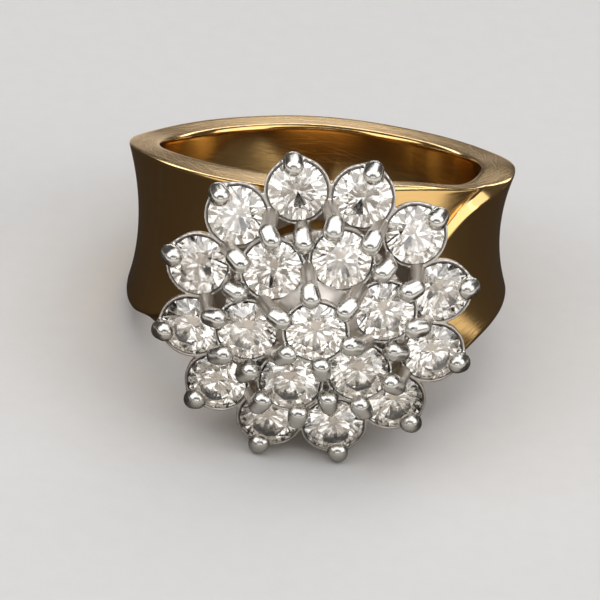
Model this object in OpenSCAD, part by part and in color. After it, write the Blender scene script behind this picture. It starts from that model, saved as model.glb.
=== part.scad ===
// Cluster ring. Nineteen round brilliants stand in a domed, open-worked white metal head,
// on a wide yellow gold band whose two wings pass each other behind the cluster.
// Millimetres, +Z up. The ring lies on its side on a floor at z = 0, as it would by itself:
// on the two lowest claws and on the back of the band. The cluster faces -Y and tips up a little.

/* [Band] */
// Inside diameter of the band
finger_d = 17.3; // [16:0.1:19]
// Width of the band along the finger, behind the cluster
front_width = 11; // [10:0.1:12]
// Thickness of a wing at the rims of the back
wing_wall = 1.9; // [1.7:0.05:2.1]
// Thickness of the inner layer, bare in the channel between the wings
inner_wall = 1.1; // [0.9:0.05:1.3]
// Depth of the hollow between the rims
hollow = 0.6; // [0.3:0.05:0.8]
// Height that a wing's sloping edge loses on its way outwards
ledge_drop = 0.4; // [0.2:0.05:0.6]
// Turn of the band against the cluster, seen from the front
band_turn = 2.7; // [0:0.1:4]

/* [Stones] */
// Diameter of a stone
stone_d = 3.1; // [2.9:0.05:3.2]
// Width of a stone's table
table_d = 1.75; // [1.5:0.05:1.9]
// Height of a stone above its girdle
crown_h = 0.45; // [0.35:0.01:0.55]
// Depth of a stone below its girdle
pavilion_h = 1.33; // [1.2:0.01:1.4]
// Thickness of the girdle
girdle_h = 0.1; // [0.06:0.01:0.14]

/* [Cluster] */
// Room between neighbours in the outer ring of stones
outer_room = 0.3; // [0.28:0.01:0.4]
// Room between neighbours in the inner ring of stones
inner_room = 0.5; // [0.45:0.01:0.7]
// Rise of the outer girdles above the channel of the band
outer_rise = 3.25; // [3:0.05:4]
// Rise of the inner girdles above the outer ones
inner_rise = 1.86; // [1.7:0.02:2.2]
// Rise of the middle girdle above the outer ones
center_rise = 3.51; // [3.3:0.02:4]
// Outward lean of the outer stones
outer_lean = 14; // [8:1:18]
// Outward lean of the inner stones
inner_lean = 7; // [3:1:10]

/* [Head] */
// Diameter of a claw's post
post_d = 0.8; // [0.7:0.05:0.9]
// Diameter of a claw's bead
bead_d = 1; // [0.95:0.05:1.1]
// Wall of a seat around a girdle
seat_wall = 0.15; // [0.12:0.01:0.18]
// Depth of a seat below the girdle
seat_depth = 0.7; // [0.6:0.05:0.8]
// Wall of a seat at its foot, around the open hole
foot_wall = 0.3; // [0.25:0.01:0.35]
// Outside diameter of the collar on the band
collar_d = 9.4; // [9:0.1:10]
// Wall of the collar
collar_wall = 0.7; // [0.5:0.05:0.9]
// Depth that the collar is let into the band
collar_sink = 0.4; // [0.3:0.05:0.5]
// Height of the gallery rail under the outer girdles
rail_drop = 2; // [1.9:0.05:2.2]
// Gap left between a stone and its setting
setting_gap = 0.05; // [0.04:0.01:0.08]
// Gap left between the collar and the band
solder_gap = 0.05; // [0.03:0.01:0.1]

/* [Hidden] */

$fn = 64;
eps = 0.01;

// Band: one row for each section, by angle from the cluster towards the viewer's right.
// Rim heights are shares of half the front width, and rim walls are shares of the wing's wall.
ANGLE = 0;
TOP = 1;
BOTTOM = 2;
TOP_WALL = 3;
BOTTOM_WALL = 4;
BAND_ROWS = [
    // angle, top, bottom, top wall, bottom wall
    [-180, 0.53, -0.55, 1.00, 1.00],
    [-150, 0.53, -0.55, 0.97, 0.97],
    [-120, 0.59, -0.62, 0.93, 0.85],
    [-90, 0.765, -0.76, 0.90, 0.72],
    [-60, 0.93, -0.77, 0.95, 0.85],
    [-30, 1.02, -0.96, 1.22, 1.00],
    [0, 1.04, -1.00, 1.20, 1.20],
    [30, 1.00, -0.96, 1.00, 1.20],
    [60, 0.82, -0.64, 1.00, 1.10],
    [90, 0.75, -0.51, 1.02, 1.03],
    [120, 0.61, -0.53, 1.00, 1.00],
    [150, 0.54, -0.55, 1.00, 1.00]];
ROW_STEP = BAND_ROWS[1][ANGLE] - BAND_ROWS[0][ANGLE];

band_sections = 80;
arc_points = 8;

finger_r = finger_d / 2;
half_front = front_width / 2;
channel_r = finger_r + inner_wall;
liner_r = finger_r - 0.4;

// Channel: each wing's edge runs level from the side, then falls steeply under the cluster.
// Heights are shares of half the front width, and falls are shares of it for one degree.
ledge_turn = 50;
ledge_bend = 5;
ledge_fall = 0.032;
right_ledge = 0.735;
right_climb = 0.0022;
left_ledge = 0.675;
left_climb = 0.0045;
climb_from = 60;
channel_reach = 96;
channel_sections = 36;

// Cluster: heights from the finger's axis, radii from the cluster's axis.
outer_count = 12;
inner_count = 6;
first_turn = 15;
outer_r = (stone_d + outer_room) / 2 / sin(180 / outer_count);
inner_r = (stone_d + inner_room) / 2 / sin(180 / inner_count);
outer_h = channel_r + outer_rise;
inner_h = outer_h + inner_rise;
center_h = outer_h + center_rise;
stone_r = stone_d / 2;
table_r = table_d / 2;
girdle_half = girdle_h / 2;
post_r = post_d / 2;
bead_r = bead_d / 2;
seat_r = stone_r + setting_gap + seat_wall;

// Facets of a stone: tips of the stars above, and of the long halves below.
facet_half = 22.5;
star_r = (table_r + stone_r) / 2;
star_z = girdle_half + crown_h * (stone_r - star_r * cos(facet_half)) / (stone_r - table_r);
lower_r = 0.22 * stone_r;
lower_z = -girdle_half - pavilion_h * (1 - lower_r / stone_r * cos(facet_half));

// Room of a stone, from the foot of its lower cone to the flat over the table.
pavilion_slope = stone_r / pavilion_h;
crown_slope = (stone_r - star_r) / (star_z - girdle_half);
function cone_shift(slope) = setting_gap * norm([1, slope]) / slope;
room_foot = -girdle_half - pavilion_h - cone_shift(pavilion_slope);
room_peak = girdle_half + stone_r / crown_slope + cone_shift(crown_slope);
room_top = girdle_half + crown_h + setting_gap;
cup_foot_r = pavilion_slope * (-seat_depth - room_foot) + foot_wall;
rim_drop = 0.08;
rim_depth = 0.35;
petal_r = 0.8 * post_r;

// Sides of the round pieces of the head. No corner of the plate lines up with one of a cup.
bead_sides = 10;
wire_sides = 8;
base_sides = 36;
plate_sides = 20;
seat_sides = 16;

// Claws: where each tip stands from the stone it grips, and where each foot lands.
tip_rise = 0.5;
tip_inset = 0.15;
shoulder_reach = 0.14;
shoulder_rise = 0.3;
shoulder_r = 0.92 * bead_r;
neck_r = 0.95 * shoulder_r;
pair_turn = 36;
pair_reach = 0.16;
pair_rise = 0.34;
between_r = inner_r + 0.8;
between_rise = 0.14;
inside_r = stone_r + 0.36;
inside_rise = 0.2;
inside_foot_r = inner_r - 0.4;
web_r = outer_r * cos(180 / outer_count) - 0.6;
web_depth = 0.55;

// Base: a collar let into the band, flared to a rail that the claws stand on, and a domed
// plate that joins the inner cups.
collar_r = collar_d / 2;
pocket_floor = channel_r - collar_sink;
rail_in = 0.82;
rail_r = outer_r - rail_in;
rail_wire = 0.4;
rail_foot_r = rail_r + 0.2;
rail_h = outer_h - rail_drop;
flare_foot = 1;
plate_r = inner_r + 0.95;
plate_depth = 0.55;
plate_wall = 0.35;
plate_hole_r = 0.6;

// Value of a table column at any angle, on a smooth closed curve through the rows.
function row_at(i) = BAND_ROWS[(i + len(BAND_ROWS)) % len(BAND_ROWS)];
function smooth(a, b, c, d, t) =
    b + t / 2 * ((c - a) + t * ((2 * a - 5 * b + 4 * c - d) + t * (3 * (b - c) + d - a)));
function around(angle, column) =
    let (place = (angle - BAND_ROWS[0][ANGLE]) / ROW_STEP, i = floor(place), t = place - i)
    smooth(row_at(i - 1)[column], row_at(i)[column], row_at(i + 1)[column],
        row_at(i + 2)[column], t);

// Ring coordinates: an angle from the cluster, a radius and a height along the finger.
function turned(angle, r, z) = [r * sin(angle), -r * cos(angle), z];

// Outside of a section, hollowed between its rims, from the upper rim down.
function outside(angle) =
    let (top = half_front * around(angle, TOP),
        bottom = half_front * around(angle, BOTTOM),
        top_r = finger_r + wing_wall * around(angle, TOP_WALL),
        bottom_r = finger_r + wing_wall * around(angle, BOTTOM_WALL))
    [for (i = [0:arc_points])
        let (t = i / arc_points)
        [top_r + t * (bottom_r - top_r) - 4 * hollow * t * (1 - t), top + t * (bottom - top)]];
function band_section(angle) =
    let (face = outside(angle))
    concat([[liner_r, face[0][1]]], face, [[liner_r, face[arc_points][1]]]);

// Edge of a wing, as a height at an angle from the cluster.
function eased(x) = ln(1 + exp(x));
function edge_height(angle, level, climb) =
    half_front * (level + climb * (angle - climb_from)
        - ledge_fall * ledge_bend * eased((ledge_turn - angle) / ledge_bend));
function right_edge(angle) = edge_height(angle, right_ledge, right_climb);
function left_edge(angle) = -edge_height(-angle, left_ledge, left_climb);
ledge_run = wing_wall - inner_wall;
channel_out = 3 * ledge_run;
function channel_section(angle) =
    let (fall = ledge_drop / ledge_run * channel_out)
    [[channel_r, left_edge(angle) - ledge_drop],
        [channel_r + channel_out, left_edge(angle) - ledge_drop + fall],
        [channel_r + channel_out, right_edge(angle) + ledge_drop - fall],
        [channel_r, right_edge(angle) + ledge_drop]];

// Closed solid through equal sections: all the way round, or with flat ends.
module loft(angles, sections, closed) {
    n = len(angles);
    m = len(sections[0]);
    points = [for (i = [0:n - 1]) for (p = sections[i]) turned(angles[i], p[0], p[1])];
    spans = closed ? n : n - 1;
    sides = [for (i = [0:spans - 1]) for (j = [0:m - 1])
        let (a = i * m, b = ((i + 1) % n) * m, k = (j + 1) % m)
        [a + j, b + j, b + k, a + k]];
    caps = closed ? [] : [[for (j = [0:m - 1]) j], [for (j = [0:m - 1]) n * m - 1 - j]];
    polyhedron(points, concat(sides, caps), convexity = 6);
}

// Rest pose: the two lowest claws touch the floor, and the ring tips back onto the first
// point of the band's lower rim that meets it.
function leaned(r, h, lean, out, up) =
    [r + out * cos(lean) + up * sin(lean), h - out * sin(lean) + up * cos(lean)];
shoulder = leaned(outer_r, outer_h, outer_lean, stone_r + shoulder_reach, shoulder_rise);
floor_claw_z = shoulder[0] * cos(first_turn);
function level(p) =
    [p[0] * cos(band_turn) - p[2] * sin(band_turn), p[1],
        p[0] * sin(band_turn) + p[2] * cos(band_turn)];
touch_r = shoulder_r * cos(180 / bead_sides);
function touch_tilt(p) =
    let (run = shoulder[1] + p[1], rise = floor_claw_z + p[2])
    atan2(rise, run) + asin(touch_r / norm([run, rise]));
lower_rim = [for (i = [0:band_sections - 1])
    let (angle = 360 / band_sections * i, foot = outside(angle)[arc_points])
    level(turned(angle, foot[0], foot[1]))];
rest_tilt = min([for (p = lower_rim) if (p[1] > 0) touch_tilt(p)]);
lift = floor_claw_z * cos(rest_tilt) - shoulder[1] * sin(rest_tilt) + touch_r;

// The origin lies under the middle of the ring, from the claws of the middle stone to the back.
front_reach = (center_h + inside_rise + bead_r) * cos(rest_tilt) + inside_r * sin(rest_tilt);
back_reach = (finger_r + wing_wall) * cos(rest_tilt)
    + half_front * around(180, TOP) * sin(rest_tilt);
forward = (front_reach - back_reach) / 2;

module at_rest() {
    translate([0, forward, lift]) rotate([-rest_tilt, 0, 0]) children();
}

// Cluster frame: +Z out of the cluster from the finger's axis, +Y up along the finger.
module in_cluster() {
    at_rest() rotate([90, 0, 0]) children();
}

// Seat of a stone: a turn about the cluster, a radius, a height and an outward lean.
module at_seat(turn, r, h, lean) {
    rotate([0, 0, -turn]) translate([0, r, h]) rotate([-lean, 0, 0]) children();
}

// Round brilliant: table, 8 stars, 8 kites, 16 upper halves, girdle, 16 lower halves, 8 mains.
function facet_ring(r, z, first, count) =
    [for (i = [0:count - 1]) [r * cos(first + 360 / count * i), r * sin(first + 360 / count * i), z]];
module brilliant() {
    points = concat(
        facet_ring(table_r, girdle_half + crown_h, 0, 8),
        facet_ring(star_r, star_z, facet_half, 8),
        facet_ring(stone_r, girdle_half, 0, 16),
        facet_ring(stone_r, -girdle_half, 0, 16),
        facet_ring(lower_r, lower_z, facet_half, 8),
        [[0, 0, -girdle_half - pavilion_h]]);
    star = 8;
    upper = 16;
    lower = 32;
    main = 48;
    culet = 56;
    faces = concat(
        [[for (i = [0:7]) 7 - i]],
        [for (i = [0:7]) [i, (i + 1) % 8, star + i]],
        [for (i = [0:7]) [i, star + i, upper + 2 * i, star + (i + 7) % 8]],
        [for (i = [0:7]) [star + i, upper + 2 * i + 1, upper + 2 * i]],
        [for (i = [0:7]) [star + i, upper + (2 * i + 2) % 16, upper + 2 * i + 1]],
        [for (i = [0:15]) [upper + i, upper + (i + 1) % 16, lower + (i + 1) % 16, lower + i]],
        [for (i = [0:7]) [lower + 2 * i, lower + 2 * i + 1, main + i]],
        [for (i = [0:7]) [lower + 2 * i + 1, lower + (2 * i + 2) % 16, main + i]],
        [for (i = [0:7]) [culet, main + (i + 7) % 8, lower + 2 * i, main + i]]);
    polyhedron(points, faces, convexity = 2);
}

// Room for one stone, wider than it by the setting gap on every side. Its two cones meet
// just outside the girdle.
module stone_room() {
    edge_z = (pavilion_slope * room_foot + crown_slope * room_peak)
        / (pavilion_slope + crown_slope);
    widen = 1 / cos(180 / seat_sides);
    rotate_extrude($fn = seat_sides) polygon([
        [0, room_foot],
        [widen * pavilion_slope * (edge_z - room_foot), edge_z],
        [widen * crown_slope * (room_peak - room_top), room_top],
        [0, room_top]]);
}

// Solid cup that a stone's room is cut from. Reach draws it out to a point, for a claw.
module cup(reach) {
    hull() {
        translate([0, 0, -seat_depth])
            cylinder(h = eps, r = cup_foot_r, $fn = seat_sides);
        translate([0, 0, -rim_depth])
            cylinder(h = rim_depth - rim_drop, r = seat_r, $fn = seat_sides);
        translate([0, reach, -rim_depth])
            cylinder(h = rim_depth - rim_drop, r = petal_r, $fn = wire_sides);
    }
}

// Point of the cluster at a turn about its axis, a radius and a height.
function spot(turn, r, h) = [r * sin(turn), r * cos(turn), h];

// Turns +Z to run from one point to another.
module aimed(from, to) {
    along = to - from;
    translate(from)
        rotate([0, acos(along[2] / norm(along)), atan2(along[1], along[0])]) children();
}

// Tapered post from a round tip to a flat foot.
module post(tip, foot, tip_r, foot_r) {
    aimed(tip, foot) {
        sphere(r = tip_r, $fn = bead_sides);
        cylinder(h = norm(foot - tip), r1 = tip_r, r2 = foot_r, $fn = bead_sides);
    }
}

// Claw at the outer end of an outer stone: tip bent over the stone, and post to the rail.
module outer_claw(turn) {
    tip = leaned(outer_r, outer_h, outer_lean, stone_r - tip_inset, tip_rise);
    neck = spot(turn, shoulder[0], shoulder[1]);
    foot = spot(turn, rail_foot_r, rail_h);
    hull() {
        translate(neck) sphere(r = shoulder_r, $fn = bead_sides);
        translate(spot(turn, tip[0], tip[1])) sphere(r = bead_r, $fn = bead_sides);
    }
    aimed(neck, foot)
        cylinder(h = norm(foot - neck), r1 = neck_r, r2 = post_r, $fn = wire_sides);
}

// Claw between two outer stones, leaning in over an inner stone. Side is -1 or 1.
module pair_claw(turn, side) {
    reach = stone_r + pair_reach;
    across = reach * sin(pair_turn);
    out = inner_r + reach * cos(pair_turn);
    tip = spot(turn + side * atan2(across, out), norm([across, out]), inner_h + pair_rise);
    post(tip, spot(turn + side * 180 / outer_count, web_r, outer_h - web_depth),
        bead_r, post_r);
}

// Claws between two inner stones: one outside them that runs down to the collar, and one
// over the middle stone that stands on the plate.
module between_claw(turn) {
    tip = spot(turn, between_r, inner_h + between_rise);
    post(tip, spot(turn, collar_r - collar_wall / 2, rail_h - flare_foot / 2), bead_r, post_r);
}
module inside_claw(turn) {
    tip = spot(turn, inside_r, center_h + inside_rise);
    post(tip, spot(turn, inside_foot_r, inner_h - plate_depth - plate_wall / 2), bead_r, post_r);
}

// Collar on the band, flared to the rail.
module base() {
    foot = pocket_floor + solder_gap;
    rotate_extrude($fn = base_sides) polygon([
        [collar_r - collar_wall, foot],
        [collar_r, foot],
        [collar_r, rail_h - flare_foot],
        [rail_r + rail_wire, rail_h],
        [rail_r, rail_h + rail_wire],
        [collar_r - collar_wall, rail_h - flare_foot / 2]]);
}

// Domed plate under the inner cups.
module plate() {
    edge_h = inner_h - plate_depth;
    middle_h = center_h - plate_depth;
    rotate_extrude($fn = plate_sides) polygon([
        [plate_hole_r, middle_h - plate_wall],
        [inner_r - stone_r, edge_h - plate_wall],
        [plate_r, edge_h - plate_wall],
        [plate_r, edge_h],
        [inner_r - stone_r / 2, edge_h],
        [stone_r, middle_h],
        [plate_hole_r, middle_h]]);
}

outer_turns = [for (i = [0:outer_count - 1]) first_turn + 360 / outer_count * i];
inner_turns = [for (i = [0:inner_count - 1]) first_turn + 360 / inner_count * i];

module head() {
    color("gainsboro") in_cluster() difference() {
        union() {
            base();
            plate();
            at_seat(0, 0, center_h, 0) cup(0);
            for (turn = inner_turns) {
                at_seat(turn, inner_r, inner_h, inner_lean) cup(0);
                pair_claw(turn, -1);
                pair_claw(turn, 1);
                between_claw(turn + 180 / inner_count);
                inside_claw(turn + 180 / inner_count);
            }
            for (turn = outer_turns) {
                at_seat(turn, outer_r, outer_h, outer_lean) cup(stone_r + shoulder_reach);
                outer_claw(turn);
            }
        }
        at_seat(0, 0, center_h, 0) stone_room();
        for (turn = inner_turns) at_seat(turn, inner_r, inner_h, inner_lean) stone_room();
        for (turn = outer_turns) at_seat(turn, outer_r, outer_h, outer_lean) stone_room();
    }
}

// Pocket that the collar and its flare stand in, wider than them by the solder gap.
module pocket() {
    rotate_extrude($fn = 96) polygon([
        [0, pocket_floor],
        [collar_r + solder_gap, pocket_floor],
        [collar_r + solder_gap, rail_h - flare_foot - solder_gap],
        [rail_r + rail_wire + solder_gap, rail_h - solder_gap],
        [rail_r + rail_wire + solder_gap, outer_h],
        [0, outer_h]]);
}

module band() {
    band_angles = [for (i = [0:band_sections - 1]) 360 / band_sections * i];
    channel_angles = [for (i = [0:channel_sections])
        channel_reach * (2 * i / channel_sections - 1)];
    color("goldenrod") at_rest() difference() {
        rotate([0, -band_turn, 0]) difference() {
            loft(band_angles, [for (a = band_angles) band_section(a)], true);
            loft(channel_angles, [for (a = channel_angles) channel_section(a)], false);
            translate([0, 0, -front_width]) cylinder(h = 2 * front_width, r = finger_r, $fn = 180);
        }
        rotate([90, 0, 0]) pocket();
    }
}

module stone(turn, r, h, lean) {
    color("aliceblue") in_cluster() at_seat(turn, r, h, lean) brilliant();
}

band();
head();
stone(0, 0, center_h, 0);  // stone_center
for (i = [1:inner_count])
    stone(inner_turns[i - 1], inner_r, inner_h, inner_lean);
for (i = [1:outer_count])
    stone(outer_turns[i - 1], outer_r, outer_h, outer_lean);
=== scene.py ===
# %% [markdown]
# Cluster ring in yellow and white gold.
# The ring lies on its side, as it would by itself: on the two lowest claws and on the back of
# the band. A wide yellow gold band wraps past itself under an open head of white metal, and
# nineteen round brilliants stand in that head, one in the middle, six around it and twelve
# outside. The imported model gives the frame, and every piece here is set into it.

import math

import bmesh
import bpy
import numpy as np
from mathutils import Matrix, Vector


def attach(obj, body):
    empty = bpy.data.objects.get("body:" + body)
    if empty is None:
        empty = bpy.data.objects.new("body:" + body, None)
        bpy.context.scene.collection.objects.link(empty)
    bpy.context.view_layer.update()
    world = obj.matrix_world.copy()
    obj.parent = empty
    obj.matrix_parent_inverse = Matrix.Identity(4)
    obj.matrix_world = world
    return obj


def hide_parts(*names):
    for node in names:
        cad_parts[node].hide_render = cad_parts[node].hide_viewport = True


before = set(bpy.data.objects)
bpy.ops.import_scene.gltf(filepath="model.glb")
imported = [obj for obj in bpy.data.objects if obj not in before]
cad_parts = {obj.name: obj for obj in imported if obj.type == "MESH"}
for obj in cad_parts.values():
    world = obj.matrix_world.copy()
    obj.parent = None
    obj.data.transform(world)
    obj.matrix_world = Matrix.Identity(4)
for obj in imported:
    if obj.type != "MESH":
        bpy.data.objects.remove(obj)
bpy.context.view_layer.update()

# %% [markdown]
# Jewellers work in millimetres, so every shape below is built in millimetres and is brought into
# metres only when it is placed. The cluster has a frame of its own: its third axis runs out of
# the cluster from the middle of the finger, and its second axis runs up along the finger. Two
# turns and one shift bring it to rest on the floor.

# %% Sizes and frames
MM = 0.001
REST_TILT = math.radians(12.9583)
REST_FORWARD = 3.13251
REST_LIFT = 5.34356
BAND_TURN = math.radians(2.7)

FINGER_R = 8.65
FRONT_WIDTH = 11.0
HALF_FRONT = FRONT_WIDTH / 2
WING_WALL = 1.9
INNER_WALL = 1.1
CHANNEL_R = FINGER_R + INNER_WALL
STONE_R = 1.55
OUTER_COUNT = 12
INNER_COUNT = 6
FIRST_TURN = math.radians(15)
OUTER_R = 6.5683
INNER_R = 3.6
OUTER_H = CHANNEL_R + 3.25
INNER_H = OUTER_H + 1.86
CENTER_H = OUTER_H + 3.51
OUTER_LEAN = math.radians(14)
INNER_LEAN = math.radians(7)

AT_REST = Matrix.Translation((0, REST_FORWARD, REST_LIFT)) @ Matrix.Rotation(-REST_TILT, 4, "X")
IN_CLUSTER = AT_REST @ Matrix.Rotation(math.radians(90), 4, "X")
TO_METRES = Matrix.Scale(MM, 4)


def leaned(out, up, reach, rise, lean):
    """A point beside a leaning stone: its distance from the cluster's axis, and its height."""
    return (out + reach * math.cos(lean) + rise * math.sin(lean),
            up - reach * math.sin(lean) + rise * math.cos(lean))


print("middle stone stands", round(CENTER_H, 2), "mm from the middle of the finger")

# %% [markdown]
# The camera stands where the photographer's did, a little above the head and turned with it.
# The photograph was taken from about thirty centimetres with a long lens, so the far side of the
# band is hardly smaller than the near one. The camera's axes are worked out in the head's own
# frame and then laid back with the ring.

# %% Camera
CAMERA_RISE = math.radians(19.9)
CAMERA_ROLL = math.radians(6.7)
CAMERA_REACH = 300.0
PIXELS = 600
PIXELS_PER_MM = 19.2
CLUSTER_PIXEL = (315.7, 308.8)
CLUSTER_POINT = Vector((0, -13.0, 0))
SENSOR_MM = 36.0

finger_up = Vector((0, 0, 1))
to_right = Vector((1, 0, 0))
to_front = Vector((0, -1, 0))
tilted_up = finger_up * math.cos(CAMERA_ROLL) - to_right * math.sin(CAMERA_ROLL)
camera_right = to_right * math.cos(CAMERA_ROLL) + finger_up * math.sin(CAMERA_ROLL)
camera_back = to_front * math.cos(CAMERA_RISE) + tilted_up * math.sin(CAMERA_RISE)
camera_up = tilted_up * math.cos(CAMERA_RISE) - to_front * math.sin(CAMERA_RISE)
aside = (CLUSTER_PIXEL[0] - PIXELS / 2) / PIXELS_PER_MM
above = (CLUSTER_PIXEL[1] - PIXELS / 2) / PIXELS_PER_MM
camera_spot = CLUSTER_POINT + camera_back * CAMERA_REACH - camera_right * aside + camera_up * above

axes = Matrix((camera_right, camera_up, camera_back)).transposed().to_4x4()
camera_data = bpy.data.cameras.new("camera")
camera_data.sensor_width = SENSOR_MM
camera_data.lens = PIXELS_PER_MM * CAMERA_REACH / PIXELS * SENSOR_MM
camera_data.clip_start = 0.01
camera = bpy.data.objects.new("camera", camera_data)
camera.matrix_world = (Matrix.Translation(AT_REST @ camera_spot * MM)
                       @ AT_REST.to_3x3().to_4x4() @ axes)
bpy.context.collection.objects.link(camera)
bpy.context.scene.camera = camera
print("lens", round(camera_data.lens, 1), "mm, camera at", [round(x, 4) for x in camera.location])

# %% [markdown]
# Node trees are easier to read when each node is made in one line. These helpers add a node with
# its settings and its inputs, and link one socket to the next.

# %% Helpers for node trees


def add(tree, kind, inputs=None, **settings):
    """One node. Inputs are given by name or number: a value, or a socket to link from."""
    node = tree.nodes.new(kind)
    for name, value in settings.items():
        setattr(node, name, value)
    for key, value in (inputs or {}).items():
        if isinstance(value, bpy.types.NodeSocket):
            tree.links.new(value, node.inputs[key])
        else:
            node.inputs[key].default_value = value
    return node


def group_tree(name, kind, inputs, outputs):
    """A node group with named sockets. Returns the tree, its input node and its output node."""
    tree = bpy.data.node_groups.new(name, kind)
    for label, socket, value in inputs:
        made = tree.interface.new_socket(label, in_out="INPUT", socket_type=socket)
        if value is not None:
            made.default_value = value
    for label, socket in outputs:
        tree.interface.new_socket(label, in_out="OUTPUT", socket_type=socket)
    return tree, tree.nodes.new("NodeGroupInput"), tree.nodes.new("NodeGroupOutput")


def maths(tree, operation, *values):
    """A math node's result, from one to three values."""
    return add(tree, "ShaderNodeMath", dict(enumerate(values)), operation=operation).outputs[0]


def mixed(tree, factor, low, high):
    """A mix of two colours."""
    return add(tree, "ShaderNodeMix", {0: factor, 6: low, 7: high}, data_type="RGBA").outputs[2]


def ranged(tree, value, low, high, to_low=0.0, to_high=1.0):
    """A value moved smoothly from one range to another."""
    return add(tree, "ShaderNodeMapRange",
               {"Value": value, "From Min": low, "From Max": high, "To Min": to_low,
                "To Max": to_high}, interpolation_type="SMOOTHSTEP").outputs[0]


print("helpers ready")

# %% [markdown]
# Worn edges. A ring that has been on a hand is brighter and a little rougher where its edges
# stand proud, and it keeps a grey film in its corners. Pointiness gives both: it is high on
# outer edges and low in inner ones. A fine noise breaks the line up, because wear is never even.

# %% Shader group: edge wear
wear_tree, wear_in, wear_out = group_tree(
    "edge_wear", "ShaderNodeTree",
    [("Edge From", "NodeSocketFloat", 0.52), ("Edge To", "NodeSocketFloat", 0.6),
     ("Corner From", "NodeSocketFloat", 0.48), ("Corner To", "NodeSocketFloat", 0.4),
     ("Grain", "NodeSocketFloat", 4000.0)],
    [("Edge", "NodeSocketFloat"), ("Corner", "NodeSocketFloat")])
wear_geometry = add(wear_tree, "ShaderNodeNewGeometry")
wear_place = add(wear_tree, "ShaderNodeTexCoord")
wear_noise = add(wear_tree, "ShaderNodeTexNoise",
                 {"Vector": wear_place.outputs["Object"], "Scale": wear_in.outputs["Grain"],
                  "Detail": 3.0, "Roughness": 0.6})
pointy = wear_geometry.outputs["Pointiness"]
wear_break = ranged(wear_tree, wear_noise.outputs["Fac"], 0.35, 0.65, 0.35, 1.0)
edge_mask = ranged(wear_tree, pointy, wear_in.outputs["Edge From"], wear_in.outputs["Edge To"])
corner_mask = ranged(wear_tree, pointy, wear_in.outputs["Corner From"],
                     wear_in.outputs["Corner To"])
wear_tree.links.new(maths(wear_tree, "MULTIPLY", edge_mask, wear_break), wear_out.inputs["Edge"])
wear_tree.links.new(maths(wear_tree, "MULTIPLY", corner_mask, wear_break),
                    wear_out.inputs["Corner"])
print("group", wear_tree.name)

# %% [markdown]
# Fine scratches. Polished gold is never a perfect mirror: polishing wheels leave hairlines that
# run round the band, and wear adds short ones across them. Noise stretched hard along one
# direction and cut off near its peaks gives a field of hairlines, and two fields at different
# slants cross each other.

# %% Shader group: hairlines
HAIR_SLANTS = (0.06, -0.35)
HAIR_FAINT, HAIR_FULL = 0.58, 0.72

hair_tree, hair_in, hair_out = group_tree(
    "hairlines", "ShaderNodeTree",
    [("Vector", "NodeSocketVector", None), ("Along", "NodeSocketFloat", 250.0),
     ("Across", "NodeSocketFloat", 14000.0), ("Amount", "NodeSocketFloat", 0.5)],
    [("Lines", "NodeSocketFloat")])
hair_fields = []
for slant in HAIR_SLANTS:
    turned_vector = add(hair_tree, "ShaderNodeVectorRotate",
                        {"Vector": hair_in.outputs["Vector"], "Angle": slant},
                        rotation_type="Z_AXIS").outputs[0]
    spread = add(hair_tree, "ShaderNodeCombineXYZ",
                 {0: hair_in.outputs["Along"], 1: hair_in.outputs["Across"],
                  2: hair_in.outputs["Along"]}).outputs[0]
    stretched = add(hair_tree, "ShaderNodeVectorMath", {0: turned_vector, 1: spread},
                    operation="MULTIPLY").outputs[0]
    field = add(hair_tree, "ShaderNodeTexNoise", {"Vector": stretched, "Scale": 1.0, "Detail": 2.0})
    hair_fields.append(ranged(hair_tree, field.outputs["Fac"], HAIR_FAINT, HAIR_FULL))
crossed = maths(hair_tree, "MAXIMUM", *hair_fields)
hair_tree.links.new(maths(hair_tree, "MULTIPLY", crossed, hair_in.outputs["Amount"]),
                    hair_out.inputs["Lines"])
print("group", hair_tree.name)

# %% [markdown]
# Yellow gold. Polished fourteen carat gold is a warm mirror. Its colour wanders a little between
# the wheel's strokes, its flat rims are less polished than its faces, and its edges are bright.
# The band carries an attribute that is one on the rims and a map that follows the band round,
# so the hairlines run as a polishing wheel leaves them.

# %% Material: yellow gold
DEEP_GOLD = (0.90, 0.57, 0.21, 1)
LIGHT_GOLD = (0.95, 0.65, 0.28, 1)
BRUSHED_GOLD = (0.80, 0.58, 0.33, 1)
DULL_GOLD = (0.42, 0.25, 0.10, 1)
RUBBED_GOLD = (1.0, 0.82, 0.52, 1)
GOLD_ROUGH = 0.12
SATIN_ROUGH, LINE_ROUGH, FILM_ROUGH = 0.14, 0.14, 0.2


def new_material(name):
    """A material with a Principled shader, and its tree, shader and object coordinates."""
    material = bpy.data.materials.new(name)
    material.use_nodes = True
    tree = material.node_tree
    shader = tree.nodes["Principled BSDF"]
    place = add(tree, "ShaderNodeTexCoord").outputs["Object"]
    return material, tree, shader, place


def use_group(tree, group, inputs):
    """A group placed in a material."""
    return add(tree, "ShaderNodeGroup", inputs, node_tree=group)


def bumped(tree, shader, height, strength, depth):
    """A height turned into the shader's normal."""
    bump = add(tree, "ShaderNodeBump", {"Height": height, "Strength": strength, "Distance": depth})
    tree.links.new(bump.outputs["Normal"], shader.inputs["Normal"])


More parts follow.
